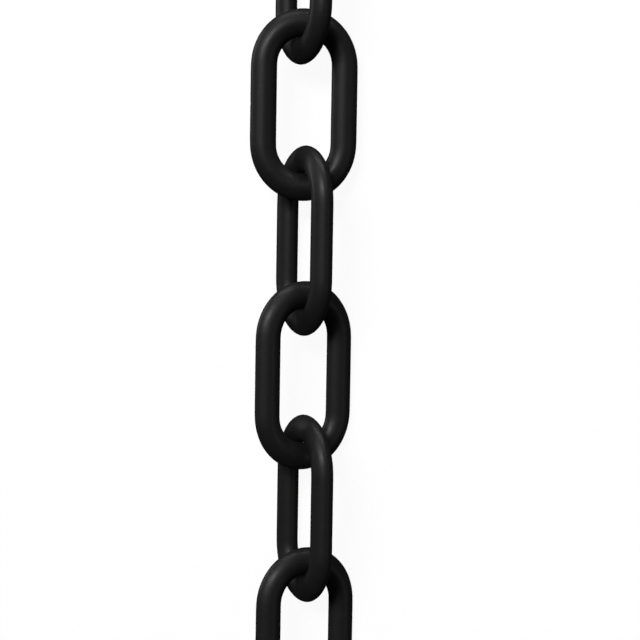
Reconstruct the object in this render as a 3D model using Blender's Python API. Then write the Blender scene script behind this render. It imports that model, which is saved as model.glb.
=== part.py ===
"""A straight length of moulded plastic chain, lying on a level floor.

Eight equal oval links pass through each other, and each link is one closed moulding. The chain
runs along Y, and link_1 is at its +Y end. Odd links have their right leg down and even ones their
left. Lengths are in metres and +Z is up. The origin is on the floor under the middle of the chain.
"""

import math

import bmesh
import bpy
from mathutils import Vector

# One link, measured on its outside unless it says otherwise
LINK_LENGTH = 0.0508
LINK_WIDTH = 0.0286
LEG_WIDTH = 0.007  # a leg's section, across the link
END_WIDTH = 0.00725  # an end bar's section, along the chain
THICKNESS = 0.0058  # the section at right angles to the link's plane
OUTER_BEND = 0.0153  # how far along the chain an outer bend reaches
WINDOW_BEND = 0.0075  # the same for a bend of the window
SECTION_POWER = 1.8  # 2 is an ellipse, and less is flatter on the slants

# The chain
LINK_COUNT = 8
CLEARANCE = 0.0003  # between two end bars that bear on each other
LEAN = math.radians(45)  # a link's plane from level, to either side by turns
FLAT_LINK = 3  # this link lies flatter than the rest, held up by its neighbours
FLAT_LEAN = math.radians(28)
STEEP_LINK = 5  # this link stands a little steeper
STEEP_LEAN = math.radians(48.5)
SKEW = math.radians(-1)  # how far each link points off the chain's line, seen from above

# Facets. Both numbers are multiples of four, so a flat facet faces each axis and each diagonal.
BEND_FACETS = 12  # in each half turn
SECTION_FACETS = 16

SHARP_ANGLE = math.radians(40)
PLASTIC_COLOUR = (0.024, 0.024, 0.024, 1.0)
PLASTIC_ROUGHNESS = 0.5

# What follows from the sizes above
HALF_LENGTH = LINK_LENGTH / 2
WINDOW_HALF_LENGTH = HALF_LENGTH - END_WIDTH
LEG_OFFSET = (LINK_WIDTH - LEG_WIDTH) / 2
PITCH = LINK_LENGTH - 2 * END_WIDTH - CLEARANCE


def clear_scene():
    for old in list(bpy.data.objects):
        bpy.data.objects.remove(old, do_unlink=True)


def support(angle, half_across, half_along, power=2.0):
    """How far the tangent whose normal is at this angle lies from the centre of an oval."""
    dual = power / (power - 1)
    across = abs(half_across * math.cos(angle)) ** dual
    along = abs(half_along * math.sin(angle)) ** dual
    return (across + along) ** (1 / dual)


def tangent_corners(angles, half_across, half_along, power=2.0):
    """The points where each tangent of an oval meets the next one."""
    corners = []
    for first, second in zip(angles, angles[1:]):
        near = support(first, half_across, half_along, power)
        far = support(second, half_across, half_along, power)
        turn = math.sin(second - first)
        x = (near * math.sin(second) - far * math.sin(first)) / turn
        y = (far * math.cos(first) - near * math.cos(second)) / turn
        corners.append(Vector((x, y)))
    return corners


def slot_outline(half_width, half_length, bend):
    """A closed outline with straight sides and an oval bend at each end, anticlockwise."""
    step = math.pi / BEND_FACETS
    angles = [step * i for i in range(BEND_FACETS + 1)]
    shift = Vector((0, half_length - bend))
    top = [corner + shift for corner in tangent_corners(angles, half_width, bend)]
    return top + [-corner for corner in top]


def bar_section():
    """The bar's outline as shares of its half width, with its height above the link's plane."""
    step = 2 * math.pi / SECTION_FACETS
    angles = [step * i for i in range(SECTION_FACETS + 1)]
    corners = tangent_corners(angles, LEG_WIDTH / 2, THICKNESS / 2, SECTION_POWER)
    return [(corner.x / (LEG_WIDTH / 2), corner.y) for corner in corners]


def section_ring(outer, inner, section):
    """The section's corners between a point of the outer outline and one of the window."""
    middle = (outer + inner) / 2
    half = (outer - inner) / 2
    places = []
    for share, height in section:
        flat = middle + half * share
        places.append(Vector((flat.x, flat.y, height)))
    return places


def link_mesh():
    """One link in the XY plane, centred on its origin."""
    outer = slot_outline(LINK_WIDTH / 2, HALF_LENGTH, OUTER_BEND)
    window = slot_outline(LINK_WIDTH / 2 - LEG_WIDTH, WINDOW_HALF_LENGTH, WINDOW_BEND)
    section = bar_section()
    rings = [section_ring(*pair, section) for pair in zip(outer, window)]

    mesh = bmesh.new()
    corners = [mesh.verts.new(place) for place in rings[0]]
    first = [mesh.edges.new(pair) for pair in zip(corners, corners[1:] + corners[:1])]
    last = first
    for ring in rings[1:]:
        grown = bmesh.ops.extrude_edge_only(mesh, edges=last)["geom"]
        last = [item for item in grown if isinstance(item, bmesh.types.BMEdge)]
        moved = [item for item in grown if isinstance(item, bmesh.types.BMVert)]
        for corner, place in zip(moved, ring):
            corner.co = place
    bmesh.ops.bridge_loops(mesh, edges=first + last)
    bmesh.ops.recalc_face_normals(mesh, faces=mesh.faces)

    data = bpy.data.meshes.new("link")
    mesh.to_mesh(data)
    mesh.free()
    data.shade_smooth()
    data.set_sharp_from_angle(angle=SHARP_ANGLE)
    return data


def black_plastic():
    material = bpy.data.materials.new("black_plastic")
    material.use_nodes = True
    shader = material.node_tree.nodes["Principled BSDF"]
    shader.inputs["Base Color"].default_value = PLASTIC_COLOUR
    shader.inputs["Roughness"].default_value = PLASTIC_ROUGHNESS
    shader.inputs["Metallic"].default_value = 0.0
    return material


def rest_height(lean):
    """How high the middle of a link lies when its lower leg meets the floor at this lean."""
    reach = max(
        share * LEG_WIDTH / 2 * math.sin(lean) + height * math.cos(lean)
        for share, height in bar_section()
    )
    return LEG_OFFSET * math.sin(lean) + reach


def build_chain():
    mesh = link_mesh()
    mesh.materials.append(black_plastic())
    leans = {FLAT_LINK: FLAT_LEAN, STEEP_LINK: STEEP_LEAN}
    first = (LINK_COUNT - 1) * PITCH / 2
    for number in range(1, LINK_COUNT + 1):
        lean = leans.get(number, LEAN)
        link = bpy.data.objects.new(f"link_{number}", mesh)
        link.location.y = first - (number - 1) * PITCH
        link.location.z = max(rest_height(lean), rest_height(LEAN))
        link.rotation_euler.y = lean if number % 2 else -lean
        link.rotation_euler.z = SKEW
        bpy.context.collection.objects.link(link)


clear_scene()
build_chain()
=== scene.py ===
"""A length of black moulded plastic chain lying on a pale studio floor, laid out as a Blender add-on."""

import math

import bmesh
import bpy
from bpy.props import FloatProperty, FloatVectorProperty, IntProperty, PointerProperty
from mathutils import Matrix, Vector


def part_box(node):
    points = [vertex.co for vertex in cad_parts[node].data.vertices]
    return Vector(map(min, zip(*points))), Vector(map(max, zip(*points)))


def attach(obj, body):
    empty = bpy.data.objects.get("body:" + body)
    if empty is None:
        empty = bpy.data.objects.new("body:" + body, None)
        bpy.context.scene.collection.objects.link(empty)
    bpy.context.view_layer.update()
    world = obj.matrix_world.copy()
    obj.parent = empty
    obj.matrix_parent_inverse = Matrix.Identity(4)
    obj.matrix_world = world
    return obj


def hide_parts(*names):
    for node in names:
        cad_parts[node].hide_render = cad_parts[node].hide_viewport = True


bl_info = {
    "name": "Plastic Chain Dresser",
    "version": (1, 0, 0),
    "blender": (4, 5, 0),
    "location": "3D View > Sidebar > Chain",
    "description": "Models the smooth links of a plastic chain over its frame and sets a studio round them",
    "category": "Object",
}

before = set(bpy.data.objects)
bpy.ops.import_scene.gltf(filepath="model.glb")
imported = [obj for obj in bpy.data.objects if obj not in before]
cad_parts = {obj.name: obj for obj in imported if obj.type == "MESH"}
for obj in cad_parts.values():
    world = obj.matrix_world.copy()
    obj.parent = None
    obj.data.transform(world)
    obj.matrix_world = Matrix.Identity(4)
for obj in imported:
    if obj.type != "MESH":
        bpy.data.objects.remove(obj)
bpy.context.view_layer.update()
LINK_NAMES = sorted(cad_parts)

SECTION_SIDES = 8  # the cage's sides round the bar, before smoothing
BEND_STEPS = 24  # the cage's steps round each end of a link
LEG_STEPS = 6  # the cage's steps down each straight leg
SMOOTHINGS = 2
LEAST_SLANT = 0.1  # a section's corner further across than this share of its half is slanted or outermost
SEAM_REACH = 1e-6  # a corner nearer the link's plane than this lies on the moulding seam
GATE_STEPS = (1.0, 0.8)  # the gate mark's widths, from its rim to its floor
PHOTO_PIXELS = 640
SENSOR_WIDTH = 36.0  # millimetres, as Blender's cameras have it
NEAREST_SEEN = 0.01  # the camera shows nothing nearer than this
LIGHTS = ("key", "top", "far", "left", "right")


def lean_of(number, shape):
    """How far a link turns about the chain: odd links have their right leg down, even ones their left."""
    lean = {shape.flat_link: shape.flat_lean, shape.steep_link: shape.steep_lean}.get(number, shape.lean)
    return lean if number % 2 else -lean


class LinkShape(bpy.types.PropertyGroup):
    """The sizes of one moulded link and how the links lie."""

    length: FloatProperty(
        name="Length", description="A link from end to end, outside",
        default=0.0508, unit="LENGTH",
    )
    width: FloatProperty(
        name="Width", description="A link across both legs, outside",
        default=0.0286, unit="LENGTH",
    )
    leg_width: FloatProperty(
        name="Leg width", description="A leg's section in the link's plane",
        default=0.007, unit="LENGTH",
    )
    end_width: FloatProperty(
        name="End width", description="An end bar's section in the link's plane",
        default=0.00735, unit="LENGTH",
    )
    thickness: FloatProperty(
        name="Thickness", description="The bar's section square to the link's plane",
        default=0.0058, unit="LENGTH",
    )
    outer_bend: FloatProperty(
        name="Outer bend", description="How far along the link its outer bend reaches",
        default=0.0153, unit="LENGTH",
    )
    window_bend: FloatProperty(
        name="Window bend", description="How far along the link the window's bend reaches",
        default=0.0075, unit="LENGTH",
    )
    slant: FloatProperty(
        name="Slant", description="How far the bar's slanted corners are drawn in, 1 being an oval bar",
        default=0.9225, subtype="FACTOR", min=0.5, max=1.0,
    )
    seam_width: FloatProperty(
        name="Seam width", description="The moulding seam's foot",
        default=0.0003, unit="LENGTH",
    )
    seam_height: FloatProperty(
        name="Seam height", description="How far the moulding seam stands proud",
        default=0.000015, unit="LENGTH",
    )
    gate_width: FloatProperty(
        name="Gate width", description="The round mark that the mould's gate leaves on one leg",
        default=0.0016, unit="LENGTH",
    )
    gate_depth: FloatProperty(
        name="Gate depth", description="How far the gate mark is sunk",
        default=0.00006, unit="LENGTH",
    )
    lean: FloatProperty(
        name="Lean", description="A link's plane from level, to either side by turns",
        default=math.radians(45), subtype="ANGLE",
    )
    flat_link: IntProperty(
        name="Flat link", description="The link that lies flatter than the rest", default=3,
    )
    flat_lean: FloatProperty(
        name="Flat lean", description="How far the flatter link leans",
        default=math.radians(28), subtype="ANGLE",
    )
    steep_link: IntProperty(
        name="Steep link", description="The link that stands a little steeper", default=5,
    )
    steep_lean: FloatProperty(
        name="Steep lean", description="How far the steeper link leans",
        default=math.radians(48.5), subtype="ANGLE",
    )
    skew: FloatProperty(
        name="Skew", description="How far each link points off the chain's line, seen from above",
        default=math.radians(-1), subtype="ANGLE",
    )


class PlasticFinish(bpy.types.PropertyGroup):
    """The colour and surface of the moulded plastic."""

    colour: FloatVectorProperty(
        name="Colour", description="The plastic's own black",
        default=(0.024, 0.024, 0.024), subtype="COLOR", size=3, min=0.0, max=1.0,
    )
    mottle: FloatProperty(
        name="Mottle", description="How far the black drifts lighter and darker, as a share of itself",
        default=0.12, subtype="FACTOR", min=0.0, max=1.0,
    )
    roughness: FloatProperty(
        name="Roughness", description="The skin's roughness where it isn't rubbed",
        default=0.5, subtype="FACTOR", min=0.0, max=1.0,
    )
    roughness_drift: FloatProperty(
        name="Roughness drift", description="How far the roughness drifts to either side",
        default=0.05, subtype="FACTOR", min=0.0, max=1.0,
    )
    polish: FloatProperty(
        name="Polish", description="How much smoother the skin is where links rub on each other",
        default=0.08, subtype="FACTOR", min=0.0, max=1.0,
    )
    skin: FloatProperty(
        name="Skin", description="How much of the surface has the mould's closed, shinier skin",
        default=0.16, subtype="FACTOR", min=0.0, max=1.0,
    )
    skin_roughness: FloatProperty(
        name="Skin roughness", description="The roughness of that skin",
        default=0.24, subtype="FACTOR", min=0.0, max=1.0,
    )
    grain_size: FloatProperty(
        name="Grain size", description="The fine grain that the mould leaves",
        default=0.00022, unit="LENGTH",
    )
    wave_size: FloatProperty(
        name="Wave size", description="The slow waves of the cooled skin",
        default=0.0026, unit="LENGTH",
    )
    wave_share: FloatProperty(
        name="Wave share", description="How much of the relief is waves, the rest being grain",
        default=0.88, subtype="FACTOR", min=0.0, max=1.0,
    )
    relief: FloatProperty(
        name="Relief", description="The height of grain and waves together",
        default=0.00004, unit="LENGTH",
    )


class StudioSetup(bpy.types.PropertyGroup):
    """The camera, the lights and the floor."""

    lens: FloatProperty(
        name="Lens", description="Focal length on a 36 mm sensor", default=85.0, unit="CAMERA",
    )
    camera_turn: FloatProperty(
        name="Camera turn", description="How far the view leans off straight down, to the chain's right",
        default=math.radians(19.3), subtype="ANGLE",
    )
    camera_tip: FloatProperty(
        name="Camera tip", description="How far the view leans towards the chain's upper end",
        default=math.radians(3.77), subtype="ANGLE",
    )
    pixel: FloatProperty(
        name="Pixel", description="The size of one pixel of the photograph at the chain's middle",
        default=0.00026746, unit="LENGTH",
    )
    chain_column: FloatProperty(
        name="Chain column", description="The chain's middle line in the photograph, in pixels",
        default=304.1,
    )
    chain_row: FloatProperty(
        name="Chain row", description="The chain's middle in the photograph, in pixels down",
        default=308.4,
    )
    floor_colour: FloatVectorProperty(
        name="Floor colour", description="The pale floor",
        default=(0.9, 0.9, 0.9), subtype="COLOR", size=3, min=0.0, max=1.0,
    )
    floor_glow: FloatProperty(
        name="Floor glow", description="How brightly the floor is seen lit from below, as on a light table",
        default=0.7,
    )
    floor_cover: FloatProperty(
        name="Floor cover", description="How much the floor hides of what swings below it, 0 being clear",
        default=0.22, subtype="FACTOR", min=0.0, max=1.0,
    )
    floor_roughness: FloatProperty(
        name="Floor roughness", description="How matt the floor is",
        default=0.9, subtype="FACTOR", min=0.0, max=1.0,
    )
    floor_mottle: FloatProperty(
        name="Floor mottle", description="How far the floor drifts darker, as a share of its colour",
        default=0.015, subtype="FACTOR", min=0.0, max=1.0,
    )
    floor_wave_size: FloatProperty(
        name="Floor wave size", description="The breadth of the floor's darker patches",
        default=1 / 6, unit="LENGTH",
    )
    floor_size: FloatProperty(
        name="Floor size", description="The floor's side", default=60.0, unit="LENGTH",
    )
    backdrop: FloatProperty(
        name="Backdrop", description="Brightness of the pale backdrop", default=1.0,
    )
    surround: FloatProperty(
        name="Surround", description="Brightness of the even light from all round", default=0.015,
    )
    key_place: FloatVectorProperty(
        name="Key place", description="The middle of the small softbox overhead",
        default=(0.10, 0.85, 1.72), subtype="TRANSLATION", size=3,
    )
    key_size: FloatVectorProperty(
        name="Key size", description="The small softbox's width and height",
        default=(0.26, 0.26), size=2, unit="LENGTH",
    )
    key_power: FloatProperty(
        name="Key power", description="The small softbox's power", default=2.8, unit="POWER",
    )
    top_place: FloatVectorProperty(
        name="Top place", description="The middle of the broad softbox overhead",
        default=(-0.15, 0.86, 1.80), subtype="TRANSLATION", size=3,
    )
    top_size: FloatVectorProperty(
        name="Top size", description="The broad softbox's width and height",
        default=(1.1, 0.6), size=2, unit="LENGTH",
    )
    top_power: FloatProperty(
        name="Top power", description="The broad softbox's power", default=9.6, unit="POWER",
    )
    far_place: FloatVectorProperty(
        name="Far place", description="The middle of the low panel beyond the chain's upper end",
        default=(0.34, 1.91, 0.33), subtype="TRANSLATION", size=3,
    )
    far_size: FloatVectorProperty(
        name="Far size", description="The low panel's width and height",
        default=(2.1, 0.6), size=2, unit="LENGTH",
    )
    far_power: FloatProperty(
        name="Far power", description="The low panel's power", default=10.6, unit="POWER",
    )
    left_place: FloatVectorProperty(
        name="Left place", description="The middle of the low panel on the upper left",
        default=(-1.76, 0.82, 0.22), subtype="TRANSLATION", size=3,
    )
    left_size: FloatVectorProperty(
        name="Left size", description="The left panel's width and height",
        default=(1.4, 0.4), size=2, unit="LENGTH",
    )
    left_power: FloatProperty(
        name="Left power", description="The left panel's power", default=4.2, unit="POWER",
    )
    right_place: FloatVectorProperty(
        name="Right place", description="The middle of the faint panel on the right",
        default=(1.85, -0.30, 0.35), subtype="TRANSLATION", size=3,
    )
    right_size: FloatVectorProperty(
        name="Right size", description="The right panel's width and height",
        default=(1.0, 0.5), size=2, unit="LENGTH",
    )
    right_power: FloatProperty(
        name="Right power", description="The right panel's power", default=0.6, unit="POWER",
    )


def deselect_all():
    for item in bpy.context.selected_objects:
        item.select_set(False)


def slot_point(angle, half_width, half_length, bend):
    """The point of a slot's outline where its outward normal is at this angle, in the upper half."""
    across = half_width * math.cos(angle)
    along = bend * math.sin(angle)
    reach = math.hypot(across, along)
    return Vector((half_width * across / reach, half_length - bend + bend * along / reach, 0))


def add_bar_section(outer, inner, shape):
    """A section's cage between a point of the outer outline and one of the window."""
    # Smoothing leaves a corner four sixths of its own reach and gives it a sixth of each neighbour's
    neighbour = shape.slant * math.cos(2 * math.pi / SECTION_SIDES)
    smoothed = (4 + 2 * neighbour) / 6
    middle = (outer + inner) / 2
    half = (outer - inner) / 2
    bpy.ops.mesh.select_all(action="DESELECT")
    bpy.ops.mesh.primitive_circle_add(
        vertices=SECTION_SIDES, radius=half.length / smoothed, fill_type="NOTHING", location=middle,
        rotation=(math.radians(90), 0, math.atan2(half.y, half.x)),
    )
    bpy.ops.transform.resize(value=(1, 1, shape.thickness / 2 / half.length), center_override=middle)
    section = bmesh.from_edit_mesh(bpy.context.object.data)
    for corner in section.verts:
        if corner.select:
            across = abs((corner.co - middle).dot(half.normalized()))
            corner.select = LEAST_SLANT * half.length < across < half.length
    section.select_flush(False)
    bpy.ops.transform.resize(value=(shape.slant,) * 3, center_override=middle)


def model_link(shape):
    """One smooth link in the XY plane, centred on the origin."""
    deselect_all()
    bpy.ops.mesh.primitive_circle_add(vertices=3, radius=1)
    link = bpy.context.object
    link.name = "moulded_link"
    bpy.ops.object.mode_set(mode="EDIT")
    bpy.ops.mesh.select_all(action="SELECT")
    bpy.ops.mesh.delete(type="VERT")

    outer_size = (shape.width / 2, shape.length / 2, shape.outer_bend)
    window_size = (
        shape.width / 2 - shape.leg_width, shape.length / 2 - shape.end_width, shape.window_bend,
    )
    for end in (1, -1):
        for step in range(BEND_STEPS + 1):
            angle = math.pi * step / BEND_STEPS
            outer = slot_point(angle, *outer_size) * end
            inner = slot_point(angle, *window_size) * end
            add_bar_section(outer, inner, shape)
        outer_last = slot_point(math.pi, *outer_size) * end
        inner_last = slot_point(math.pi, *window_size) * end
        for step in range(1, LEG_STEPS):
            down = Vector((1, 1 - 2 * step / LEG_STEPS, 1))
            add_bar_section(outer_last * down, inner_last * down, shape)
    bpy.ops.mesh.select_all(action="SELECT")
    bpy.ops.mesh.bridge_edge_loops(type="CLOSED")
    bpy.ops.mesh.normals_make_consistent(inside=False)
    bpy.ops.object.mode_set(mode="OBJECT")

    smooth = link.modifiers.new("smooth", "SUBSURF")
    smooth.levels = smooth.render_levels = SMOOTHINGS
    bpy.ops.object.modifier_apply(modifier=smooth.name)
    raise_seam(link, shape)
    sink_gate(link, shape)
    place = link.data.attributes.new("mould_place", "FLOAT_VECTOR", "POINT")
    for corner in link.data.vertices:
        place.data[corner.index].vector = corner.co
    return link


def raise_seam(link, shape):
    """The mould's halves meet in the link's plane and leave a low ridge all round, outside and inside."""
    bpy.ops.object.mode_set(mode="EDIT")
    bpy.ops.mesh.select_mode(type="EDGE")
    bpy.ops.mesh.select_all(action="DESELECT")
    cage = bmesh.from_edit_mesh(link.data)
    for edge in cage.edges:
        edge.select_set(all(abs(corner.co.z) < SEAM_REACH for corner in edge.verts))
    bmesh.update_edit_mesh(link.data)
    bpy.ops.mesh.bevel(offset=shape.seam_width / 2, segments=2, profile=0.5, affect="EDGES")
    bpy.ops.mesh.select_mode(type="VERT")
    bpy.ops.mesh.select_all(action="DESELECT")
    cage = bmesh.from_edit_mesh(link.data)
    for corner in cage.verts:
        corner.select_set(abs(corner.co.z) < SEAM_REACH)
    bmesh.update_edit_mesh(link.data)
    bpy.ops.transform.shrink_fatten(value=shape.seam_height)
    bpy.ops.object.mode_set(mode="OBJECT")


def sink_gate(link, shape):
    """The gate's round mark, sunk into the outer side of the left leg."""
    gate = Vector((-shape.width / 2, 0, 0))
    bpy.ops.object.mode_set(mode="EDIT")
    bpy.ops.mesh.select_mode(type="VERT")
    for share in GATE_STEPS:
        bpy.ops.mesh.select_all(action="DESELECT")
        cage = bmesh.from_edit_mesh(link.data)
        for corner in cage.verts:
            corner.select_set((corner.co - gate).length < shape.gate_width / 2 * share)
        bmesh.update_edit_mesh(link.data)
        bpy.ops.transform.translate(value=(shape.gate_depth / len(GATE_STEPS), 0, 0))
    bpy.ops.object.mode_set(mode="OBJECT")


def add_node(tree, kind, values=None, **settings):
    """A node with its settings made and its named or numbered inputs filled."""
    node = tree.nodes.new(kind)
    for name, value in settings.items():
        setattr(node, name, value)
    for key, value in (values or {}).items():
        node.inputs[key].default_value = value
    return node


def make_grain_group():
    """Fine grain and slow waves as a height, and a slow mottle, for the plastic and the floor."""
    tree = bpy.data.node_groups.new("fine_grain", "ShaderNodeTree")
    sockets = tree.interface
    sockets.new_socket("Vector", in_out="INPUT", socket_type="NodeSocketVector")
    for name in ("Grains per metre", "Waves per metre", "Wave share"):
        sockets.new_socket(name, in_out="INPUT", socket_type="NodeSocketFloat")
    for name in ("Height", "Mottle"):
        sockets.new_socket(name, in_out="OUTPUT", socket_type="NodeSocketFloat")
    given = tree.nodes.new("NodeGroupInput")
    result = tree.nodes.new("NodeGroupOutput")
    grain = add_node(tree, "ShaderNodeTexNoise", {"Detail": 3.0, "Roughness": 0.6})
    waves = add_node(tree, "ShaderNodeTexNoise", {"Detail": 2.0, "Roughness": 0.5, "Distortion": 0.4})
    blend = add_node(tree, "ShaderNodeMix", data_type="FLOAT")
    link = tree.links.new
    link(given.outputs["Vector"], grain.inputs["Vector"])
    link(given.outputs["Vector"], waves.inputs["Vector"])
    link(given.outputs["Grains per metre"], grain.inputs["Scale"])
    link(given.outputs["Waves per metre"], waves.inputs["Scale"])
    link(given.outputs["Wave share"], blend.inputs["Factor"])
    link(grain.outputs["Fac"], blend.inputs["A"])
    link(waves.outputs["Fac"], blend.inputs["B"])
    link(blend.outputs["Result"], result.inputs["Height"])
    link(waves.outputs["Fac"], result.inputs["Mottle"])
    return tree


def grain_group():
    """The shared group, made the first time that a material asks for it."""
    return bpy.data.node_groups.get("fine_grain") or make_grain_group()


def make_plastic(finish, shape):
    """Satin black plastic, a little polished where the links rub."""
    plastic = bpy.data.materials.new("black_moulded_plastic")
    plastic.use_nodes = True
    tree = plastic.node_tree
    link = tree.links.new
    shader = tree.nodes["Principled BSDF"]
    coordinates = tree.nodes.new("ShaderNodeTexCoord")
    grain = add_node(tree, "ShaderNodeGroup", node_tree=grain_group())
    grain.inputs["Grains per metre"].default_value = 1 / finish.grain_size
    grain.inputs["Waves per metre"].default_value = 1 / finish.wave_size
    grain.inputs["Wave share"].default_value = finish.wave_share
    link(coordinates.outputs["Object"], grain.inputs["Vector"])

    darker = [value * (1 - finish.mottle) for value in finish.colour]
    lighter = [value * (1 + finish.mottle) for value in finish.colour]
    colour = add_node(tree, "ShaderNodeMix", data_type="RGBA")
    colour.inputs["A"].default_value = (*darker, 1)
    colour.inputs["B"].default_value = (*lighter, 1)
    link(grain.outputs["Mottle"], colour.inputs["Factor"])
    link(colour.outputs["Result"], shader.inputs["Base Color"])

    place = add_node(tree, "ShaderNodeAttribute", attribute_type="GEOMETRY", attribute_name="mould_place")
    folded = add_node(tree, "ShaderNodeVectorMath", operation="ABSOLUTE")
    bearing = add_node(tree, "ShaderNodeVectorMath", operation="DISTANCE")
    bearing.inputs[1].default_value = (0, shape.length / 2 - shape.end_width, 0)
    rubbed = add_node(tree, "ShaderNodeMapRange", {
        "From Min": shape.thickness / 2, "From Max": shape.thickness, "To Min": finish.polish, "To Max": 0.0,
    })
    drift = add_node(tree, "ShaderNodeMapRange", {
        "To Min": finish.roughness - finish.roughness_drift,
        "To Max": finish.roughness + finish.roughness_drift,
    })
    roughness = add_node(tree, "ShaderNodeMath", operation="SUBTRACT")
    link(place.outputs["Vector"], folded.inputs[0])
    link(folded.outputs["Vector"], bearing.inputs[0])
    link(bearing.outputs["Value"], rubbed.inputs["Value"])
    link(grain.outputs["Mottle"], drift.inputs["Value"])
    link(drift.outputs["Result"], roughness.inputs[0])
    link(rubbed.outputs["Result"], roughness.inputs[1])
    link(roughness.outputs["Value"], shader.inputs["Roughness"])

    shader.inputs["Coat Weight"].default_value = finish.skin
    shader.inputs["Coat Roughness"].default_value = finish.skin_roughness

    relief = add_node(tree, "ShaderNodeBump", {"Strength": 1.0, "Distance": finish.relief})
    link(grain.outputs["Height"], relief.inputs["Height"])
    link(relief.outputs["Normal"], shader.inputs["Normal"])
    return plastic


def make_floor_paint(studio):
    """A matt pale sheet, barely mottled and a little see-through."""
    paint = bpy.data.materials.new("pale_floor")
    paint.use_nodes = True
    tree = paint.node_tree
    link = tree.links.new
    shader = tree.nodes["Principled BSDF"]
    shader.inputs["Roughness"].default_value = studio.floor_roughness
    coordinates = tree.nodes.new("ShaderNodeTexCoord")
    grain = add_node(tree, "ShaderNodeGroup", node_tree=grain_group())
    grain.inputs["Waves per metre"].default_value = 1 / studio.floor_wave_size
    colour = add_node(tree, "ShaderNodeMix", data_type="RGBA")
    darker = [value * (1 - studio.floor_mottle) for value in studio.floor_colour]
    colour.inputs["A"].default_value = (*darker, 1)
    colour.inputs["B"].default_value = (*studio.floor_colour, 1)
    link(coordinates.outputs["Object"], grain.inputs["Vector"])
    link(grain.outputs["Mottle"], colour.inputs["Factor"])
    link(colour.outputs["Result"], shader.inputs["Base Color"])
    shader.inputs["Emission Color"].default_value = (1, 1, 1, 1)
    shader.inputs["Emission Strength"].default_value = studio.floor_glow
    shader.inputs["Alpha"].default_value = studio.floor_cover
    return paint


def make_surround(studio):
    """The pale backdrop that the camera sees, and a much weaker light from all round."""
    world = bpy.data.worlds.new("studio_surround")
    world.use_nodes = True
    tree = world.node_tree
    sky = tree.nodes["Background"]
    sky.inputs["Color"].default_value = (1, 1, 1, 1)
    rays = tree.nodes.new("ShaderNodeLightPath")
    strength = add_node(tree, "ShaderNodeMapRange", {"To Min": studio.surround, "To Max": studio.backdrop})
    tree.links.new(rays.outputs["Is Camera Ray"], strength.inputs["Value"])
    tree.links.new(strength.outputs["Result"], sky.inputs["Strength"])
    return world


def add_softbox(name, place, size, power, aim):
    """A rectangular light at its place, turned to face the aim."""
    bpy.ops.object.light_add(type="AREA", location=place)
    softbox = bpy.context.object
    softbox.name = name
    softbox.data.shape = "RECTANGLE"
    softbox.data.size, softbox.data.size_y = size
    softbox.data.energy = power
    softbox.rotation_euler = (aim - softbox.location).to_track_quat("-Z", "Y").to_euler()
    return softbox


class CHAIN_OT_links(bpy.types.Operator):
    """Model one smooth link and lay a copy of it in the place of every link"""

    bl_idname = "chain.links"
    bl_label = "Moulded Links"

    def execute(self, context):
        shape = context.scene.link_shape
        pattern = model_link(shape)
        plastic = make_plastic(context.scene.plastic_finish, shape)
        pattern.data.materials.append(plastic)
        for number, name in enumerate(LINK_NAMES, start=1):
            low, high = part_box(name)
            link = pattern.copy()
            link.data = pattern.data.copy()
            link.name = f"moulded_{name}"
            context.collection.objects.link(link)
            deselect_all()
            link.select_set(True)
            context.view_layer.objects.active = link
            link.rotation_euler = (0, lean_of(number, shape), shape.skew)
            link.location = (Vector(low) + Vector(high)) / 2
            bpy.ops.object.transform_apply(location=True, rotation=True, scale=True)
            bpy.ops.object.shade_smooth()
            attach(link, name)
            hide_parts(name)
        bpy.data.objects.remove(pattern, do_unlink=True)
        return {"FINISHED"}


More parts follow.
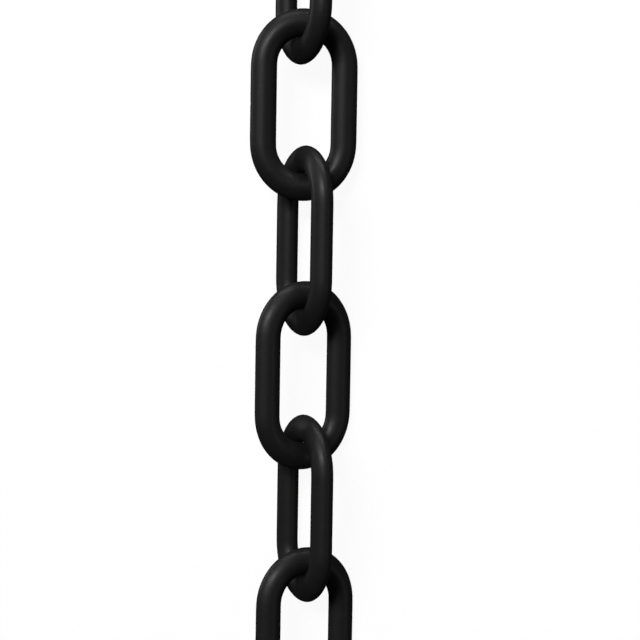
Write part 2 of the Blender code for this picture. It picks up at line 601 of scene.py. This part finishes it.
class CHAIN_OT_stage(bpy.types.Operator):
    """Set the camera, the pale floor and the soft lights"""

    bl_idname = "chain.stage"
    bl_label = "Studio"

    def execute(self, context):
        studio = context.scene.studio_setup
        scene = context.scene
        scene.view_settings.view_transform = "Standard"

        low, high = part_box(LINK_NAMES[0])
        middle = Vector((0, 0, (low[2] + high[2]) / 2))
        turn = Matrix.Rotation(studio.camera_turn, 3, "Y") @ Matrix.Rotation(-studio.camera_tip, 3, "X")
        width = studio.pixel * PHOTO_PIXELS
        distance = width * studio.lens / SENSOR_WIDTH
        right = (PHOTO_PIXELS / 2 - studio.chain_column) * studio.pixel
        up = (studio.chain_row - PHOTO_PIXELS / 2) * studio.pixel
        bpy.ops.object.camera_add(
            location=middle + turn @ Vector((right, up, distance)),
            rotation=turn.to_euler(),
        )
        camera = context.object
        camera.name = "studio_camera"
        camera.data.lens = studio.lens
        camera.data.sensor_width = SENSOR_WIDTH
        camera.data.clip_start = NEAREST_SEEN
        scene.camera = camera

        bpy.ops.mesh.primitive_plane_add(size=studio.floor_size, location=(0, 0, 0))
        floor = context.object
        floor.name = "studio_floor"
        floor.data.materials.append(make_floor_paint(studio))
        floor.visible_glossy = False
        floor.visible_diffuse = False
        floor.visible_shadow = False

        scene.world = make_surround(studio)
        for name in LIGHTS:
            place, size, power = (getattr(studio, f"{name}_{what}") for what in ("place", "size", "power"))
            add_softbox(f"{name}_softbox", place, size, power, middle)
        return {"FINISHED"}


class CHAIN_PT_panel(bpy.types.Panel):
    """Lists what the dresser makes."""

    bl_label = "Plastic Chain"
    bl_idname = "CHAIN_PT_panel"
    bl_space_type = "VIEW_3D"
    bl_region_type = "UI"
    bl_category = "Chain"

    def draw(self, context):
        column = self.layout.column()
        column.operator(CHAIN_OT_links.bl_idname)
        column.operator(CHAIN_OT_stage.bl_idname)


CLASSES = (LinkShape, PlasticFinish, StudioSetup, CHAIN_OT_links, CHAIN_OT_stage, CHAIN_PT_panel)


def register():
    for item in CLASSES:
        bpy.utils.register_class(item)
    bpy.types.Scene.link_shape = PointerProperty(type=LinkShape)
    bpy.types.Scene.plastic_finish = PointerProperty(type=PlasticFinish)
    bpy.types.Scene.studio_setup = PointerProperty(type=StudioSetup)


def unregister():
    del bpy.types.Scene.studio_setup
    del bpy.types.Scene.plastic_finish
    del bpy.types.Scene.link_shape
    for item in reversed(CLASSES):
        bpy.utils.unregister_class(item)


def main():
    register()
    bpy.ops.chain.links()
    bpy.ops.chain.stage()


if __name__ == "__main__":
    main()
